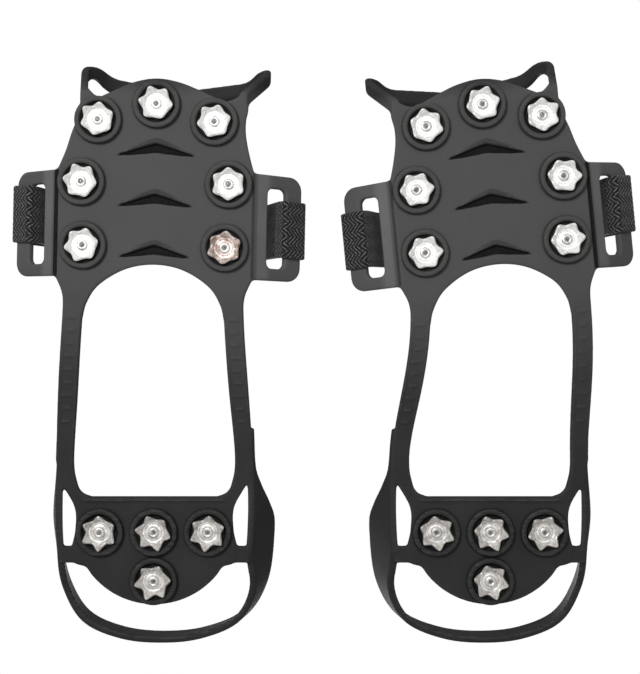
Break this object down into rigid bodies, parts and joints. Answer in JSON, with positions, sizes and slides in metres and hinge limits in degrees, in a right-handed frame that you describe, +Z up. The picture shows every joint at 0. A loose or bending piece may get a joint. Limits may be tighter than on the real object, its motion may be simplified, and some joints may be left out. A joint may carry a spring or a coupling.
{
  "type": "shoe ice cleats",
  "caption": "Pair of rubber harness ice cleats for shoes, with star studs under the sole and a hook-and-loop instep strap on each.",
  "frame": {"origin": "the middle of the pair's box, on the ground under the stud tips", "axes": "+Z up, +Y towards the toes, +X towards the right cleat"},
  "size_m": [0.309, 0.2964, 0.0838],
  "materials": {
    "rubber": "satin",
    "stud_steel": "bright plated",
    "rivet_steel": "plated",
    "washer_steel": "plated",
    "webbing": "woven",
    "loop_pile": "brushed pile",
    "hook_tape": "moulded hooks"
  },
  "bodies": {
    "right_cleat": {"right_harness": "rubber", "right_stud_toe_middle": "stud_steel", "right_stud_toe_outer": "stud_steel", "right_stud_toe_inner": "stud_steel", "right_stud_ball_outer": "stud_steel", "right_stud_ball_inner": "stud_steel", "right_stud_arch_outer": "stud_steel", "right_stud_arch_inner": "stud_steel", "right_stud_heel_outer": "stud_steel", "right_stud_heel_middle": "stud_steel", "right_stud_heel_inner": "stud_steel", "right_stud_heel_rear": "stud_steel", "right_rivets": "rivet_steel", "right_washers": "washer_steel", "right_strap": "webbing", "right_loop_pad": "loop_pile"},
    "right_strap_end": {"right_strap_tail": "webbing", "right_hook_pad": "hook_tape"},
    "left_cleat": {"left_harness": "rubber", "left_stud_toe_middle": "stud_steel", "left_stud_toe_outer": "stud_steel", "left_stud_toe_inner": "stud_steel", "left_stud_ball_outer": "stud_steel", "left_stud_ball_inner": "stud_steel", "left_stud_arch_outer": "stud_steel", "left_stud_arch_inner": "stud_steel", "left_stud_heel_outer": "stud_steel", "left_stud_heel_middle": "stud_steel", "left_stud_heel_inner": "stud_steel", "left_stud_heel_rear": "stud_steel", "left_rivets": "rivet_steel", "left_washers": "washer_steel", "left_strap": "webbing", "left_loop_pad": "loop_pile"},
    "left_strap_end": {"left_strap_tail": "webbing", "left_hook_pad": "hook_tape"}
  },
  "joints": [
    {"name": "left_cleat_lift", "type": "slide", "parent": "right_cleat", "child": "left_cleat", "axis": [0, 0, 1], "range_m": [0, 0.15]},
    {"name": "right_strap_peel", "type": "hinge", "parent": "right_cleat", "child": "right_strap_end", "pos_m": [0.15126, 0.06786, 0.0282], "axis": [-0.0209, 0.9998, 0], "range_deg": [0, 120]},
    {"name": "left_strap_peel", "type": "hinge", "parent": "left_cleat", "child": "left_strap_end", "pos_m": [-0.15023, 0.07313, 0.0282], "axis": [-0.0958, -0.9954, 0], "range_deg": [0, 120]}
  ]
}
